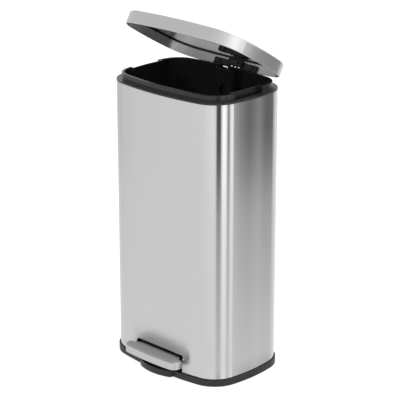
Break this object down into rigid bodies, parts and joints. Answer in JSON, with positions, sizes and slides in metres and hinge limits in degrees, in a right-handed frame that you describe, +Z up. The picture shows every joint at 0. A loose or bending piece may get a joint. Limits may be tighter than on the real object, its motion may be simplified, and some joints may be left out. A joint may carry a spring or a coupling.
{
  "type": "pedal trash can",
  "caption": "Rectangular steel pedal bin with bowed walls, lift-out bucket, hinged lid held partly open, foot pedal and push-rod linkage.",
  "frame": {"origin": "on the floor under the middle of the casing, at the face of the middle rubber foot", "axes": "+Z up, +X to the object's own right hand as seen from the pedal side, the pedal points along -Y"},
  "size_m": [0.3364, 0.2798, 0.7583],
  "materials": {
    "casing_steel": "satin stainless sheet, fine upright grain",
    "liner_steel": "plain stainless sheet",
    "bright_steel": "zinc-plated steel",
    "base_plastic": "charcoal moulded plastic, fine matt",
    "bucket_plastic": "charcoal moulded plastic",
    "black_plastic": "black moulded plastic",
    "nylon": "natural nylon",
    "foot_rubber": "black rubber"
  },
  "bodies": {
    "casing": {"outer_shell": "casing_steel", "base_ring": "base_plastic", "base_plate": "base_plastic", "base_screws": "bright_steel", "rubber_feet": "foot_rubber", "top_frame": "base_plastic", "inner_bucket": "bucket_plastic", "hinge_blocks": "black_plastic", "hinge_pin": "bright_steel", "hinge_screws": "bright_steel", "rod_channel": "black_plastic", "rod_guides": "black_plastic", "guide_screws": "bright_steel", "damper_cylinder": "bright_steel", "bearing_stands": "black_plastic", "axle_bushes": "nylon", "stop_pad": "foot_rubber"},
    "lid": {"lid_skirt": "casing_steel", "lid_top": "casing_steel", "lid_seal": "black_plastic", "lid_liner": "liner_steel", "lid_bracket": "black_plastic", "bracket_screws": "bright_steel", "crank_pin": "bright_steel"},
    "push_rod_set": {"push_rod": "bright_steel", "rod_yoke": "black_plastic", "rod_foot": "black_plastic", "damper_clip": "black_plastic", "damper_rod": "bright_steel"},
    "pedal": {"pedal_cap": "casing_steel", "pedal_core": "base_plastic", "pedal_lever": "bright_steel", "pedal_rivets": "bright_steel", "pedal_axle": "bright_steel", "axle_clips": "bright_steel"}
  },
  "joints": [
    {"name": "lid_hinge", "type": "hinge", "parent": "casing", "child": "lid", "pos_m": [0, 0.116, 0.6175], "axis": [-1, 0, 0], "range_deg": [-30.4, 44.6]},
    {"name": "push_rod_slide", "type": "slide", "parent": "casing", "child": "push_rod_set", "axis": [0, 0, 1], "range_m": [-0.00791, 0.01159]},
    {"name": "pedal_pivot", "type": "hinge", "parent": "casing", "child": "pedal", "pos_m": [0, -0.04, 0.0235], "axis": [1, 0, 0], "range_deg": [-3.21, 4.7]}
  ],
  "couplings": [
    {"joint": "push_rod_slide", "follows": "lid_hinge", "m_per_rad": 0.014882},
    {"joint": "pedal_pivot", "follows": "lid_hinge", "ratio": 0.10526}
  ]
}
